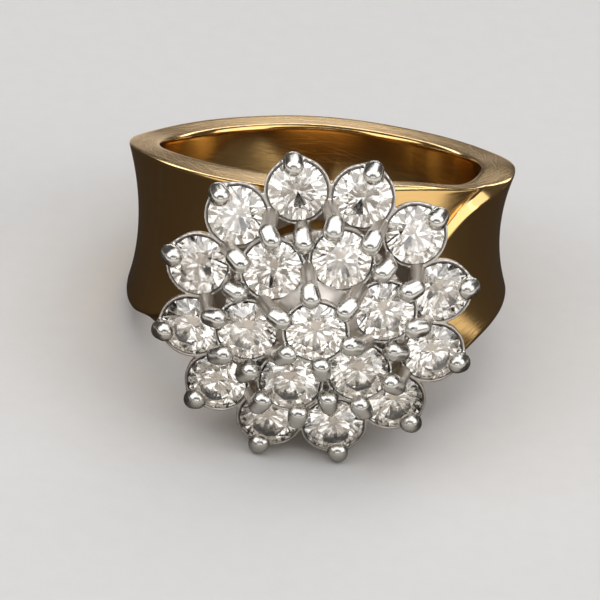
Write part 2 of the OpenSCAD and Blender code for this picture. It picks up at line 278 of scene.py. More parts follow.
yellow_gold, tree, shader, place = new_material("polished_yellow_gold")
shader.inputs["Metallic"].default_value = 1.0
wander = add(tree, "ShaderNodeTexNoise", {"Vector": place, "Scale": 260.0, "Detail": 3.0})
round_map = add(tree, "ShaderNodeUVMap", uv_map="around").outputs["UV"]
lines = use_group(tree, hair_tree, {"Vector": round_map, "Amount": 0.45}).outputs["Lines"]
worn = use_group(tree, wear_tree, {"Edge From": 0.53, "Edge To": 0.64, "Corner From": 0.47,
                                   "Corner To": 0.36})
satin = add(tree, "ShaderNodeAttribute", attribute_name="satin").outputs["Fac"]
gold = mixed(tree, wander.outputs["Fac"], DEEP_GOLD, LIGHT_GOLD)
gold = mixed(tree, maths(tree, "MULTIPLY", satin, 0.6), gold, BRUSHED_GOLD)
gold = mixed(tree, maths(tree, "MULTIPLY", worn.outputs["Corner"], 0.6), gold, DULL_GOLD)
gold = mixed(tree, maths(tree, "MULTIPLY", worn.outputs["Edge"], 0.5), gold, RUBBED_GOLD)
tree.links.new(gold, shader.inputs["Base Color"])
rough = maths(tree, "MULTIPLY_ADD", satin, SATIN_ROUGH, GOLD_ROUGH)
rough = maths(tree, "MULTIPLY_ADD", lines, LINE_ROUGH, rough)
rough = maths(tree, "MULTIPLY_ADD", worn.outputs["Corner"], FILM_ROUGH, rough)
tree.links.new(rough, shader.inputs["Roughness"])
bumped(tree, shader, lines, strength=0.12, depth=0.00001)
print("material", yellow_gold.name)

# %% [markdown]
# White gold. The head is cast, soldered and plated, then its claws are polished by hand. Their
# beads shine like drops, while the metal between them stays a little soft and holds a grey film
# where no polishing string reaches.

# %% Material: white gold
DARK_CASTING = (0.66, 0.60, 0.535, 1)
LIGHT_CASTING = (0.86, 0.815, 0.76, 1)
POLISHED_CLAW = (0.75, 0.735, 0.70, 1)
GREY_FILM = (0.34, 0.29, 0.23, 1)
BRIGHT_EDGE = (0.96, 0.95, 0.93, 1)
CASTING_SMOOTH, CASTING_ROUGH = 0.30, 0.42
POLISH_GAIN = -0.13

white_gold, tree, shader, place = new_material("plated_white_gold")
shader.inputs["Metallic"].default_value = 1.0
cast = add(tree, "ShaderNodeTexNoise", {"Vector": place, "Scale": 2600.0, "Detail": 4.0,
                                        "Roughness": 0.55})
patches = add(tree, "ShaderNodeTexNoise", {"Vector": place, "Scale": 420.0, "Detail": 2.0})
worn = use_group(tree, wear_tree, {"Edge From": 0.53, "Edge To": 0.62, "Corner From": 0.47,
                                   "Corner To": 0.34})
polish = add(tree, "ShaderNodeAttribute", attribute_name="polish").outputs["Fac"]
skin = mixed(tree, patches.outputs["Fac"], DARK_CASTING, LIGHT_CASTING)
silver = mixed(tree, polish, skin, POLISHED_CLAW)
silver = mixed(tree, maths(tree, "MULTIPLY", worn.outputs["Corner"], 0.55), silver, GREY_FILM)
silver = mixed(tree, maths(tree, "MULTIPLY", worn.outputs["Edge"], 0.5), silver, BRIGHT_EDGE)
tree.links.new(silver, shader.inputs["Base Color"])
rough = ranged(tree, cast.outputs["Fac"], 0.3, 0.7, CASTING_SMOOTH, CASTING_ROUGH)
rough = maths(tree, "MULTIPLY_ADD", polish, POLISH_GAIN, rough)
rough = maths(tree, "MULTIPLY_ADD", worn.outputs["Corner"], 0.15, rough)
tree.links.new(rough, shader.inputs["Roughness"])
bumped(tree, shader, cast.outputs["Fac"], strength=0.12, depth=0.00003)
print("material", white_gold.name)

# %% [markdown]
# Diamond. A brilliant is clear, bends light strongly and throws it back from its lower facets.
# Its sparkle comes from the cut, so the stones of the imported model keep their facets and only
# get this glass. Real stones of this size are not all alike: a faint tint wanders over them, and
# its warm patches are also a painted warm reflection of the gold round them. A light film of skin
# oil wanders over them too.

# %% Material: diamond
DIAMOND_IOR = 2.42
# The warm end is partly the stones' faint tint and partly a painted reflection of the gold.
WARM_TINT_AND_PAINTED_REFLECTION = (0.93, 0.89, 0.83, 1)
NO_TINT = (0.97, 0.97, 0.97, 1)
CLEAN_ROUGH, OILY_ROUGH = 0.04, 0.12

diamond, tree, shader, place = new_material("clear_diamond")
shader.inputs["Metallic"].default_value = 0.0
shader.inputs["Transmission Weight"].default_value = 1.0
shader.inputs["IOR"].default_value = DIAMOND_IOR
# This noise spreads the faint tint and the painted warm reflection of the gold over the stones.
tint_and_painted_reflection = add(tree, "ShaderNodeTexNoise", {"Vector": place, "Scale": 300.0, "Detail": 1.0})
clear = mixed(tree, tint_and_painted_reflection.outputs["Fac"], WARM_TINT_AND_PAINTED_REFLECTION, NO_TINT)
tree.links.new(clear, shader.inputs["Base Color"])
film = add(tree, "ShaderNodeTexNoise", {"Vector": place, "Scale": 1500.0, "Detail": 3.0})
tree.links.new(ranged(tree, film.outputs["Fac"], 0.35, 0.7, CLEAN_ROUGH, OILY_ROUGH),
               shader.inputs["Roughness"])
stones = [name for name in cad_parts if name.startswith("stone_")]
for name in stones:
    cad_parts[name].material_slots[0].material = diamond
print("material", diamond.name, "on", len(stones), "stones")

# %% [markdown]
# The band. Its outside is hollowed between two rims, and its edge on each side turns away and
# passes under the cluster, so a sloping ledge and a smooth channel show on both sides. Cut from
# straight pieces it would show them in its mirror. It is drawn section by section instead: each
# section is the outline of the metal at one angle round the finger, and one closed skin runs
# through all of them.

# %% Band: what one section looks like
# Angle from the cluster, height of the upper and lower rim as shares of half the front width,
# and thickness at the two rims as shares of the wing's wall.
BAND_ROWS = [
    (-180, 0.53, -0.55, 1.00, 1.00),
    (-150, 0.53, -0.55, 0.97, 0.97),
    (-120, 0.59, -0.62, 0.93, 0.85),
    (-90, 0.765, -0.76, 0.90, 0.72),
    (-60, 0.93, -0.77, 0.95, 0.85),
    (-30, 1.02, -0.96, 1.22, 1.00),
    (0, 1.04, -1.00, 1.20, 1.20),
    (30, 1.00, -0.96, 1.00, 1.20),
    (60, 0.82, -0.64, 1.00, 1.10),
    (90, 0.75, -0.51, 1.02, 1.03),
    (120, 0.61, -0.53, 1.00, 1.00),
    (150, 0.54, -0.55, 1.00, 1.00)]
ROW_STEP = 30
HOLLOW = 0.6
LEDGE_DROP = 0.4
LEDGE_RUN = WING_WALL - INNER_WALL
LEDGE_TURN = 50
LEDGE_BEND = 5
LEDGE_FALL = 0.032
CLIMB_FROM = 60
RIGHT_LEDGE, RIGHT_CLIMB = 0.735, 0.0022
LEFT_LEDGE, LEFT_CLIMB = 0.675, 0.0045
HALVINGS = 40


def around(angle, column):
    """A column of the table at any angle, on a smooth closed curve through its rows."""
    place = (angle - BAND_ROWS[0][0]) / ROW_STEP
    i = math.floor(place)
    t = place - i
    a, b, c, d = (BAND_ROWS[(i + k) % len(BAND_ROWS)][column] for k in (-1, 0, 1, 2))
    return b + t / 2 * ((c - a) + t * ((2 * a - 5 * b + 4 * c - d) + t * (3 * (b - c) + d - a)))


def edge_height(angle, level, climb):
    """Height of a wing's edge, which runs level from the side and then falls steeply."""
    eased = math.log1p(math.exp((LEDGE_TURN - angle) / LEDGE_BEND))
    return HALF_FRONT * (level + climb * (angle - CLIMB_FROM) - LEDGE_FALL * LEDGE_BEND * eased)


def hollowed(angle):
    """The outside of the wing at an angle, as a function from its upper to its lower rim."""
    top, bottom = HALF_FRONT * around(angle, 1), HALF_FRONT * around(angle, 2)
    top_r = FINGER_R + WING_WALL * around(angle, 3)
    bottom_r = FINGER_R + WING_WALL * around(angle, 4)
    return lambda t: (top_r + t * (bottom_r - top_r) - 4 * HOLLOW * t * (1 - t),
                      top + t * (bottom - top))


def where(test, low, high):
    """The place between low and high where a test that starts out true turns false."""
    for _ in range(HALVINGS):
        middle = (low + high) / 2
        low, high = (middle, high) if test(middle) else (low, middle)
    return low


def wing(face, foot, side):
    """One wing at a section. Side is 1 where the channel lies above it, -1 where it lies below.
    Returns the outer end of the rim by the channel, the foot of the ledge, its edge, the share
    of the outside at which the wing starts, and the outer end of the far rim."""
    near, far = face(0 if side > 0 else 1), face(1 if side > 0 else 0)

    def at(share):
        return face(share if side > 0 else 1 - share)

    def slope(r):
        return foot - side * (r - CHANNEL_R) * LEDGE_DROP / LEDGE_RUN

    if side * (slope(near[0]) - near[1]) >= 0:
        return near, near, near, 0.0, far
    if side * (foot - far[1]) <= 0:
        gone = (CHANNEL_R, far[1])
        return (CHANNEL_R, near[1]), gone, gone, None, gone
    start, rim_end = (CHANNEL_R, foot), (CHANNEL_R, near[1])
    if side * (foot - near[1]) > 0:
        run = side * (foot - near[1]) * LEDGE_RUN / LEDGE_DROP
        start = rim_end = (CHANNEL_R + run, near[1])
    if side * (slope(far[0]) - far[1]) <= 0:
        run = side * (foot - far[1]) * LEDGE_RUN / LEDGE_DROP
        edge = (CHANNEL_R + run, far[1])
        return rim_end, start, edge, 1.0, edge
    share = where(lambda s: side * (at(s)[1] - slope(at(s)[0])) > 0, 0.0, 1.0)
    return rim_end, start, at(share), share, far


print("rows", len(BAND_ROWS), "ledge run", round(LEDGE_RUN, 2), "mm")

# %% Band: one section's outline
CURVE_STEPS = 26
FLOOR_STEPS = 20
SHORT_STEPS = 8
BORE_STEPS = 20
# A usual width for each stretch, so that the map's lines run on along a rim that gets wider.
MAP_WIDTHS = (8.5, 1.9, 8.5, 0.9, 8.5, 0.9, 8.5, 1.9)


def wing_outside(face, parts, side, corner):
    """A wing's outside at a section and the foot of its ledge: one corner where the wing has
    gone, and one edge where only its ledge is left."""
    foot, edge, share = parts[1:4]
    if share is None:
        return [corner, corner], corner
    if share == 1.0:
        return [edge, edge], foot
    start = share if side > 0 else 0.0
    return [face(start + (1 - share) * i / CURVE_STEPS) for i in range(CURVE_STEPS + 1)], foot


def outline(angle):
    """The metal's outline at an angle, as stretches of points from corner to corner: the bore,
    the upper rim, the left wing's outside and ledge, the channel, the right wing's ledge and
    outside, and the lower rim. A stretch that isn't there at this angle is one point."""
    face = hollowed(angle)
    top, bottom = face(0)[1], face(1)[1]
    right = wing(face, edge_height(angle, RIGHT_LEDGE, RIGHT_CLIMB) + LEDGE_DROP, 1)
    left = wing(face, -edge_height(-angle, LEFT_LEDGE, LEFT_CLIMB) - LEDGE_DROP, -1)
    outer_top = right[0] if left[3] is None else left[4]
    outer_bottom = left[0] if right[3] is None else right[4]
    left_out, left_foot = wing_outside(face, left, -1, outer_top)
    right_out, right_foot = wing_outside(face, right, 1, outer_bottom)
    return [
        ([(FINGER_R, bottom), (FINGER_R, top)], BORE_STEPS),
        ([(FINGER_R, top), outer_top], SHORT_STEPS),
        (left_out, CURVE_STEPS),
        ([left_out[-1], left_foot], SHORT_STEPS),
        ([left_foot, right_foot], FLOOR_STEPS),
        ([right_foot, right_out[0]], SHORT_STEPS),
        (right_out, CURVE_STEPS),
        ([outer_bottom, (FINGER_R, bottom)], SHORT_STEPS)]


print("stretches in a section", len(outline(60)))

# %% [markdown]
# A wheel rounds every corner by about the same amount. The outline is walked at a steady pace,
# and each point becomes the mean of its neighbours within a short reach, so straight stretches
# stay straight and corners turn soft, also where a ledge runs out into a rim.

# %% Band: corners eased by the wheel
LEDGE_EASE = 0.1
RIM_EASE = 0.2
RIM_NEAR, RIM_FAR = 0.4, 1.2
BORE_EASE = 0.3
TAPS = 6
END_STEPS = 3
NO_STEP = 1e-9


def paced(reach, steps, ease):
    """Distances along a stretch, closer together at its two ends."""
    end = min(2 * ease, reach * END_STEPS / steps)
    inner = steps - 2 * END_STEPS
    return ([end * i / END_STEPS for i in range(END_STEPS)]
            + [end + (reach - 2 * end) * i / inner for i in range(inner)]
            + [reach - end + end * i / END_STEPS for i in range(END_STEPS)])


def eased_section(angle):
    """The outline with soft corners, for each point how far it belongs to a flat rim, and its
    way round the section on the map."""
    stretches = outline(angle)
    along, line, places, rims, ways, insides, rim_ends = [], [], [], [], [], [], []
    start = 0.0
    for k, (points, steps) in enumerate(stretches):
        reach = sum(math.dist(p, q) for p, q in zip(points, points[1:]))
        for p, q in zip(points, points[1:]):
            step = math.dist(p, q)
            if step > NO_STEP:
                along.append(start)
                line.append(p)
                start += step
        rim = 1.0 if k in (1, len(stretches) - 1) else 0.0
        if rim:
            rim_ends.append(start if k == 1 else start - reach)
        for distance in paced(reach, steps, RIM_EASE):
            share = distance / reach if reach > 0 else 0.0
            places.append(start - reach + distance)
            ways.append(sum(MAP_WIDTHS[:k]) + share * MAP_WIDTHS[k])
            insides.append({0: 1.0, 1: 1.0 - share, len(stretches) - 1: share}.get(k, 0.0))
            rims.append(rim * min(1.0, 4 * share, 4 * (1 - share)))
    line, places = np.array(line), np.array(places)
    from_rim = np.min([abs(places - end) for end in rim_ends], axis=0)
    outer = np.interp(from_rim, (RIM_NEAR, RIM_FAR), (RIM_EASE, LEDGE_EASE))
    eases = np.where(np.array(insides) > 0, RIM_EASE + (BORE_EASE - RIM_EASE) * np.array(insides),
                     outer)
    soft = np.zeros((len(places), 2))
    weight = 0.0
    for tap in range(-TAPS, TAPS + 1):
        share = 1 - abs(tap) / (TAPS + 1)
        at = places + eases * tap / TAPS
        for axis in (0, 1):
            soft[:, axis] += share * np.interp(at, along, line[:, axis], period=start)
        weight += share
    return soft / weight, rims, ways


soft_outline = eased_section(60)[0]
print("a section has", len(soft_outline), "points")

# %% Band: the skin through the sections
BAND_SECTIONS = 480
WELD = 0.0003


def turned(angle, r, height):
    """A point of the band from its angle, its distance from the finger's axis and its height."""
    turn = math.radians(angle)
    return (r * math.sin(turn), -r * math.cos(turn), height)


def mesh_object(name, mesh):
    """An object that shows a mesh, at the origin."""
    made = bpy.data.objects.new(name, mesh)
    bpy.context.collection.objects.link(made)
    return made


def band_skin():
    """The closed skin of the band in millimetres, with its map and its rims marked."""
    vertices, rims, ways = [], [], []
    for i in range(BAND_SECTIONS + 1):
        angle = -180 + 360 * i / BAND_SECTIONS
        points, marks, across = eased_section(angle)
        for (r, height), way in zip(points, across):
            vertices.append(turned(angle, r, height))
            ways.append((math.radians(angle) * FINGER_R * MM, way * MM))
        rims += marks
    count = len(points)
    faces = []
    for i in range(BAND_SECTIONS):
        for j in range(count):
            k = (j + 1) % count
            a, b = i * count, (i + 1) * count
            faces.append((a + j, a + k, b + k, b + j))
    mesh = bpy.data.meshes.new("band_skin")
    mesh.from_pydata(vertices, [], faces)
    layer = mesh.uv_layers.new(name="around")
    for loop in mesh.loops:
        layer.data[loop.index].uv = ways[loop.vertex_index]
    for face in mesh.polygons:
        if face.index % count == count - 1:
            for loop in face.loop_indices:
                if layer.data[loop].uv.y == 0:
                    layer.data[loop].uv.y = sum(MAP_WIDTHS) * MM
    mark = mesh.attributes.new("satin", "FLOAT", "POINT")
    mark.data.foreach_set("value", rims)
    shape = bmesh.new()
    shape.from_mesh(mesh)
    bmesh.ops.remove_doubles(shape, verts=shape.verts, dist=WELD)
    bmesh.ops.dissolve_degenerate(shape, edges=shape.edges, dist=WELD / 4)
    bmesh.ops.recalc_face_normals(shape, faces=shape.faces)
    open_edges = sum(not e.is_manifold for e in shape.edges)
    shape.to_mesh(mesh)
    shape.free()
    print("band skin", len(mesh.polygons), "faces,", open_edges, "open edges")
    return mesh


band_piece = mesh_object("band_wrapped", band_skin())

# %% [markdown]
# The collar of the head is let into the band, so the band has a round pocket for it, and the
# wings give way to the collar's flare. A profile turned on a lathe makes the tool for that cut,
# and the same lathe makes the collar and the domed plate of the head.

# %% Lathe, cuts and the band's pocket
COLLAR_R = 4.7
COLLAR_WALL = 0.7
POCKET_FLOOR = CHANNEL_R - 0.4
RAIL_R = OUTER_R - 0.82
RAIL_WIRE = 0.4
RAIL_H = OUTER_H - 2
FLARE_FOOT = 1
SOLDER_GAP = 0.05
POCKET_SIDES = 192
LATHE_WELD, LATHE_SLIVER = 1e-5, 1e-6


def lathe(name, profile, sides):
    """A closed solid turned round the third axis from a closed profile of radius and height."""
    vertices, faces = [], []
    count = len(profile)
    for i in range(sides):
        turn = 2 * math.pi * i / sides
        vertices += [(r * math.cos(turn), r * math.sin(turn), h) for r, h in profile]
        a, b = i * count, (i + 1) % sides * count
        faces += [(a + j, b + j, b + (j + 1) % count, a + (j + 1) % count) for j in range(count)]
    mesh = bpy.data.meshes.new(name)
    mesh.from_pydata(vertices, [], faces)
    shape = bmesh.new()
    shape.from_mesh(mesh)
    bmesh.ops.remove_doubles(shape, verts=shape.verts, dist=LATHE_WELD)
    bmesh.ops.dissolve_degenerate(shape, edges=shape.edges, dist=LATHE_SLIVER)
    bmesh.ops.recalc_face_normals(shape, faces=shape.faces)
    shape.to_mesh(mesh)
    shape.free()
    return mesh


def finish_mesh(piece):
    """Gives the piece the mesh that its modifiers make, and takes the modifiers off."""
    evaluated = piece.evaluated_get(bpy.context.evaluated_depsgraph_get())
    mesh = bpy.data.meshes.new_from_object(evaluated)
    piece.modifiers.clear()
    old = piece.data
    piece.data = mesh
    bpy.data.meshes.remove(old)


def cut(piece, tool):
    """The piece without the room that the tool takes."""
    step = piece.modifiers.new("cut", "BOOLEAN")
    step.operation = "DIFFERENCE"
    step.solver = "MANIFOLD"
    step.object = tool
    before = len(piece.data.polygons)
    finish_mesh(piece)
    bpy.data.objects.remove(tool)
    print("cut", piece.name, "from", before, "to", len(piece.data.polygons), "faces")


pocket = mesh_object("pocket", lathe("pocket", [
    (0, POCKET_FLOOR),
    (COLLAR_R + SOLDER_GAP, POCKET_FLOOR),
    (COLLAR_R + SOLDER_GAP, RAIL_H - FLARE_FOOT - SOLDER_GAP),
    (RAIL_R + RAIL_WIRE + SOLDER_GAP, RAIL_H - SOLDER_GAP),
    (RAIL_R + RAIL_WIRE + SOLDER_GAP, OUTER_H),
    (0, OUTER_H)], POCKET_SIDES))
pocket.data.transform(Matrix.Rotation(math.radians(90), 4, "X"))
band_piece.data.transform(Matrix.Rotation(-BAND_TURN, 4, "Y"))
cut(band_piece, pocket)

# %% Band: smooth shading, place and finish
SHARP = math.radians(35)


def place_piece(piece, matrix, material, slot, *nodes):
    """The finished mesh set to rest in metres, with its material, and standing for its nodes."""
    mesh = piece.data
    mesh.transform(TO_METRES @ matrix)
    mesh.materials.clear()
    mesh.materials.append(material)
    mesh.shade_smooth()
    mesh.set_sharp_from_angle(angle=SHARP)
    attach(piece, "root")
    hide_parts(*nodes)
    triangles = sum(len(p.vertices) - 2 for p in mesh.polygons)
    print(piece.name, triangles, "triangles")


place_piece(band_piece, AT_REST, yellow_gold, "yellow_gold", "band")

# %% [markdown]
# Claws and seats repeat round the cluster, so Geometry Nodes make them. One tree makes a cup
# from three circles, one above the other, and a point on its outer side, wraps them in the
# tightest skin that holds them, and sets as many of those round the cluster as are asked for.
# The same tree with other sizes makes the room that each stone needs.

# %% Geometry Nodes: a ring of cups
CUP_INPUTS = [
    ("Count", "NodeSocketInt", 6), ("First Turn", "NodeSocketFloat", 0.0),
    ("Out", "NodeSocketFloat", 0.0), ("Height", "NodeSocketFloat", 0.0),
    ("Lean", "NodeSocketFloat", 0.0),
    ("Low Size", "NodeSocketFloat", 1.0), ("Low Height", "NodeSocketFloat", -1.0),
    ("Middle Size", "NodeSocketFloat", 1.5), ("Middle Height", "NodeSocketFloat", -0.5),
    ("Top Size", "NodeSocketFloat", 1.5), ("Top Height", "NodeSocketFloat", 0.0),
    ("Point Size", "NodeSocketFloat", 0.3), ("Point Reach", "NodeSocketFloat", 0.0),
    ("Sides", "NodeSocketInt", 64), ("Material", "NodeSocketMaterial", None)]
POINT_SIDES = 24


def vector(tree, x=0.0, y=0.0, z=0.0):
    """Three values as one vector."""
    return add(tree, "ShaderNodeCombineXYZ", {0: x, 1: y, 2: z}).outputs[0]


def circle(tree, sides, radius, place):
    """A flat circle at a place."""
    disc = add(tree, "GeometryNodeMeshCircle", {"Vertices": sides, "Radius": radius}).outputs[0]
    return add(tree, "GeometryNodeTransform",
               {"Geometry": disc, "Translation": place}).outputs[0]


def hull(tree, *parts):
    """The tightest skin that holds all the parts."""
    join = add(tree, "GeometryNodeJoinGeometry")
    for part in parts:
        tree.links.new(part, join.inputs[0])
    return add(tree, "GeometryNodeConvexHull", {0: join.outputs[0]}).outputs[0]


def set_round(tree, shape, given, out, height, lean):
    """The shape set round the cluster's axis Count times, with its material, as one mesh."""
    index = add(tree, "GeometryNodeInputIndex").outputs[0]
    step = maths(tree, "DIVIDE", 2 * math.pi, given.outputs["Count"])
    turn = maths(tree, "MULTIPLY_ADD", index, step, given.outputs["First Turn"])
    x = maths(tree, "MULTIPLY", maths(tree, "SINE", turn), out)
    y = maths(tree, "MULTIPLY", maths(tree, "COSINE", turn), out)
    points = add(tree, "GeometryNodePoints", {"Count": given.outputs["Count"],
                                              "Position": vector(tree, x, y, height)})
    turns = vector(tree, maths(tree, "MULTIPLY", lean, -1.0), 0.0,
                   maths(tree, "MULTIPLY", turn, -1.0))
    copies = add(tree, "GeometryNodeInstanceOnPoints",
                 {"Points": points.outputs[0], "Instance": shape, "Rotation": turns})
    real = add(tree, "GeometryNodeRealizeInstances", {0: copies.outputs[0]})
    return add(tree, "GeometryNodeSetMaterial",
               {"Geometry": real.outputs[0], "Material": given.outputs["Material"]}).outputs[0]


cup_tree, given, made = group_tree("ring_of_cups", "GeometryNodeTree", CUP_INPUTS,
                                   [("Geometry", "NodeSocketGeometry")])
sides = given.outputs["Sides"]
stack = [circle(cup_tree, sides, given.outputs[f"{level} Size"],
                vector(cup_tree, z=given.outputs[f"{level} Height"]))
         for level in ("Low", "Middle", "Top")]
stack += [circle(cup_tree, POINT_SIDES, given.outputs["Point Size"],
                 vector(cup_tree, y=given.outputs["Point Reach"],
                        z=given.outputs[f"{level} Height"])) for level in ("Middle", "Top")]
cup_ring = set_round(cup_tree, hull(cup_tree, *stack), given, given.outputs["Out"],
                     given.outputs["Height"], given.outputs["Lean"])
cup_tree.links.new(cup_ring, made.inputs[0])
print("tree", cup_tree.name, "with", len(cup_tree.nodes), "nodes")

# %% [markdown]
# A claw is a wire that stands on the head's rail or plate, runs up past the stone and is bent
# over it, and its end is worked into a round bead. The second tree makes one claw from a bead at
# the tip and a ball at the neck and at the foot, wraps the bead and the wire each in a skin of its
# own, and sets the claw round the cluster. Tip Aside and Foot Aside let the claw lean sideways.

# %% Geometry Nodes: a ring of claws
CLAW_INPUTS = [
    ("Count", "NodeSocketInt", 6), ("First Turn", "NodeSocketFloat", 0.0),
    ("Tip Aside", "NodeSocketFloat", 0.0), ("Foot Aside", "NodeSocketFloat", 0.0),
    ("Tip Out", "NodeSocketFloat", 5.0), ("Tip Height", "NodeSocketFloat", 5.0),
    ("Tip Size", "NodeSocketFloat", 0.5),
    ("Neck Out", "NodeSocketFloat", 5.0), ("Neck Height", "NodeSocketFloat", 5.0),
    ("Neck Size", "NodeSocketFloat", 0.45),
    ("Foot Out", "NodeSocketFloat", 5.0), ("Foot Height", "NodeSocketFloat", 0.0),
    ("Foot Size", "NodeSocketFloat", 0.4), ("Material", "NodeSocketMaterial", None)]
NECK_SHARE = 0.93
BALL_SEGMENTS, BALL_RINGS = 28, 18

claw_tree, given, made = group_tree("ring_of_claws", "GeometryNodeTree", CLAW_INPUTS,
                                    [("Geometry", "NodeSocketGeometry")])


def claw_spot(part, aside):
    """The place of the tip, neck or foot."""
    out = given.outputs[f"{part} Out"]
    return vector(claw_tree, maths(claw_tree, "MULTIPLY", maths(claw_tree, "SINE", aside), out),
                  maths(claw_tree, "MULTIPLY", maths(claw_tree, "COSINE", aside), out),
                  given.outputs[f"{part} Height"])


def ball(size, place, share=1.0):
    """A round ball at a place."""
    radius = maths(claw_tree, "MULTIPLY", size, share)
    sphere = add(claw_tree, "GeometryNodeMeshUVSphere",
                 {"Segments": BALL_SEGMENTS, "Rings": BALL_RINGS, "Radius": radius}).outputs[0]
    return add(claw_tree, "GeometryNodeTransform",
               {"Geometry": sphere, "Translation": place}).outputs[0]


tip_spot = claw_spot("Tip", given.outputs["Tip Aside"])
neck_spot = claw_spot("Neck", given.outputs["Tip Aside"])
foot_spot = claw_spot("Foot", given.outputs["Foot Aside"])
bead = hull(claw_tree, ball(given.outputs["Tip Size"], tip_spot),
            ball(given.outputs["Neck Size"], neck_spot))
wire = hull(claw_tree, ball(given.outputs["Neck Size"], neck_spot, NECK_SHARE),
            ball(given.outputs["Foot Size"], foot_spot))
claw = add(claw_tree, "GeometryNodeJoinGeometry")
claw_tree.links.new(bead, claw.inputs[0])
claw_tree.links.new(wire, claw.inputs[0])
claw_tree.links.new(set_round(claw_tree, claw.outputs[0], given, 0.0, 0.0, 0.0), made.inputs[0])
print("tree", claw_tree.name, "with", len(claw_tree.nodes), "nodes")

# %% Run a tree with its sizes


def grown(name, tree, sizes):
    """An object whose mesh a tree makes with these sizes. The inputs are set before it is read."""
    piece = mesh_object(name, bpy.data.meshes.new(name))
    growing = piece.modifiers.new("grow", "NODES")
    growing.node_group = tree
    names = {item.name: item.identifier for item in tree.interface.items_tree
             if item.in_out == "INPUT"}
    for label, value in {**sizes, "Material": white_gold}.items():
        growing[names[label]] = value
    finish_mesh(piece)
    return piece


def join(name, pieces):
    """One object with the meshes of several."""
    shape = bmesh.new()
    for piece in pieces:
        shape.from_mesh(piece.data)
        bpy.data.objects.remove(piece)
    mesh = bpy.data.meshes.new(name)
    shape.to_mesh(mesh)
    shape.free()
    return mesh_object(name, mesh)


SETTING_GAP = 0.03
SEAT_R = STONE_R + 0.2
POST_R = 0.4
WIRE_R = 0.5
BEAD_R = 0.56
SHOULDER_R = 0.53
seat = {"Low Size": 1.25, "Low Height": -0.7, "Middle Size": SEAT_R, "Middle Height": -0.35,
        "Top Size": SEAT_R, "Top Height": 0.0}
rings = {
    "middle": {"Count": 1, "Out": 0.0, "Height": CENTER_H, "Lean": 0.0},
    "inner": {"Count": INNER_COUNT, "First Turn": FIRST_TURN, "Out": INNER_R, "Height": INNER_H,
              "Lean": INNER_LEAN},
    "outer": {"Count": OUTER_COUNT, "First Turn": FIRST_TURN, "Out": OUTER_R, "Height": OUTER_H,
              "Lean": OUTER_LEAN}}
parts = [grown("cups_" + name, cup_tree, {**ring, **seat}) for name, ring in rings.items()]
parts.append(grown("points", cup_tree, {**rings["outer"], **seat, "Point Size": 0.32,
                                        "Point Reach": STONE_R + 0.14}))
print("cups", sum(len(p.data.polygons) for p in parts), "faces")

# %% [markdown]
# Four kinds of claw hold the stones. Twelve outer ones stand on the rail and are bent over the
# tips of the star. Pairs of claws rise between the outer stones and hold each inner stone from
# outside. Six more stand between the inner stones, and six slim ones hold the middle stone.

# %% Claws
OUTER_TIP_IN, OUTER_TIP_UP = 0.25, 0.5
OUTER_NECK_OUT, OUTER_NECK_UP = 0.01, 0.3
PAIR_TURN = math.radians(36)
PAIR_GAP = 0.16
PAIR_TIP_UP = 0.34
PAIR_BEND, BEND = 0.42, 0.4
BEND_DROP = 0.22
OUTER_FOOT_OUT = 0.2
WEB_IN, WEB_BELOW = 0.6, 0.15
tips = []


def tip_ring(count, first, out, height):
    """Keeps where the tips of a ring of claws are, for the polish that they get later."""
    for i in range(count):
        turn = first + 2 * math.pi * i / count
        tips.append((out * math.sin(turn), out * math.cos(turn), height))


tip_out, tip_height = leaned(OUTER_R, OUTER_H, STONE_R - OUTER_TIP_IN, OUTER_TIP_UP, OUTER_LEAN)
neck_out, neck_height = leaned(OUTER_R, OUTER_H, STONE_R + OUTER_NECK_OUT, OUTER_NECK_UP,
                               OUTER_LEAN)
tip_ring(OUTER_COUNT, FIRST_TURN, (tip_out + neck_out) / 2, (tip_height + neck_height) / 2)
parts.append(grown("claws_outer", claw_tree, {
    "Count": OUTER_COUNT, "First Turn": FIRST_TURN, "Tip Out": tip_out, "Tip Height": tip_height,
    "Tip Size": BEAD_R, "Neck Out": neck_out, "Neck Height": neck_height,
    "Neck Size": SHOULDER_R, "Foot Out": RAIL_R + OUTER_FOOT_OUT, "Foot Height": RAIL_H,
    "Foot Size": POST_R}))

pair_reach = STONE_R + PAIR_GAP
pair_across = pair_reach * math.sin(PAIR_TURN)
pair_out = INNER_R + pair_reach * math.cos(PAIR_TURN)
web_r = OUTER_R * math.cos(math.pi / OUTER_COUNT) - WEB_IN
for side, name in ((-1, "left"), (1, "right")):
    straight = {"Tip Out": math.hypot(pair_across, pair_out), "Tip Height": INNER_H + PAIR_TIP_UP}
    parts.append(grown("claws_" + name, claw_tree, {
        "Count": INNER_COUNT, "First Turn": FIRST_TURN,
        "Tip Aside": side * math.atan2(pair_across, pair_out),
        "Foot Aside": side * math.pi / OUTER_COUNT, **straight, "Tip Size": BEAD_R,
        "Neck Out": straight["Tip Out"] + PAIR_BEND,
        "Neck Height": straight["Tip Height"] - BEND_DROP,
        "Neck Size": WIRE_R, "Foot Out": web_r, "Foot Height": OUTER_H - WEB_BELOW,
        "Foot Size": POST_R}))
    tip_ring(INNER_COUNT, FIRST_TURN + side * math.atan2(pair_across, pair_out),
             straight["Tip Out"], straight["Tip Height"])

